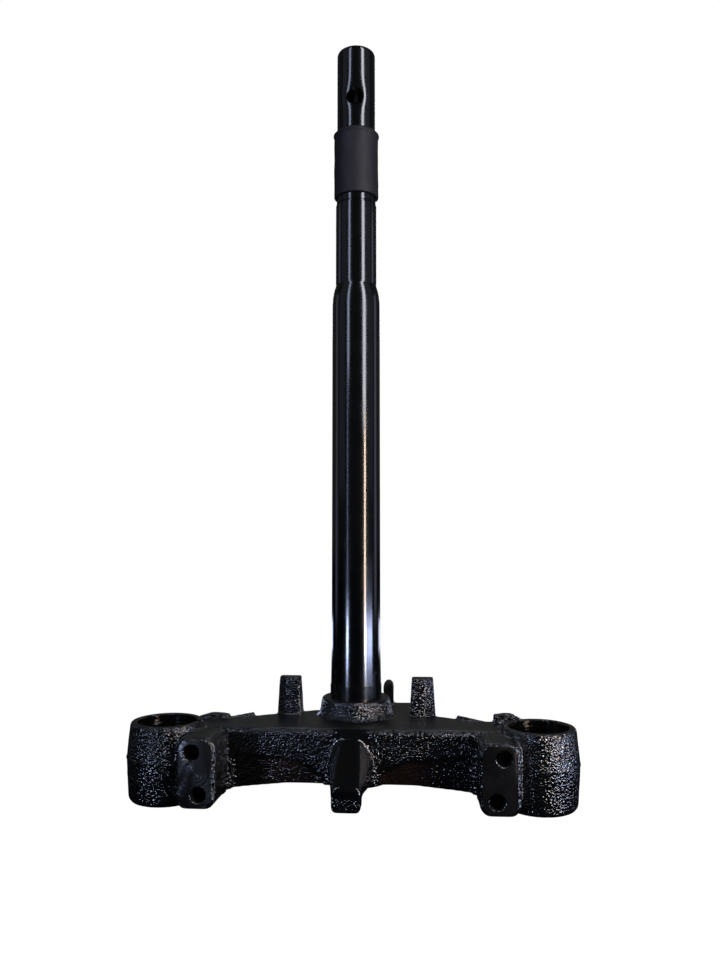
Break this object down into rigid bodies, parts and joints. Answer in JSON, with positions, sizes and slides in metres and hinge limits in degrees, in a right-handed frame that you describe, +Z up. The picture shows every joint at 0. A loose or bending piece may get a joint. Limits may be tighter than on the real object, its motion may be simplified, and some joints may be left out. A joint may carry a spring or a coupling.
{
  "type": "motorcycle triple clamp",
  "caption": "Lower fork bridge with its pressed-in steering stem: split fork clamps with pinch lugs, stop posts, lock tongue and a cross-drilled stem end.",
  "frame": {"origin": "on the steering axis, at the shoulder that the lower steering bearing seats on", "axes": "+Z up along the steering stem, -Y towards the front of the machine, +X to the side that carries the lock tongue"},
  "size_m": [0.2558, 0.108, 0.4593],
  "materials": {
    "bridge_paint": "gloss black paint over a rough forged skin",
    "stem_enamel": "gloss black enamel on a smooth tube",
    "sleeve_rubber": "matte charcoal rubber"
  },
  "bodies": {
    "root": {"lower_bridge": "bridge_paint", "steering_stem": "stem_enamel", "thread_sleeve": "sleeve_rubber"}
  },
  "joints": []
}
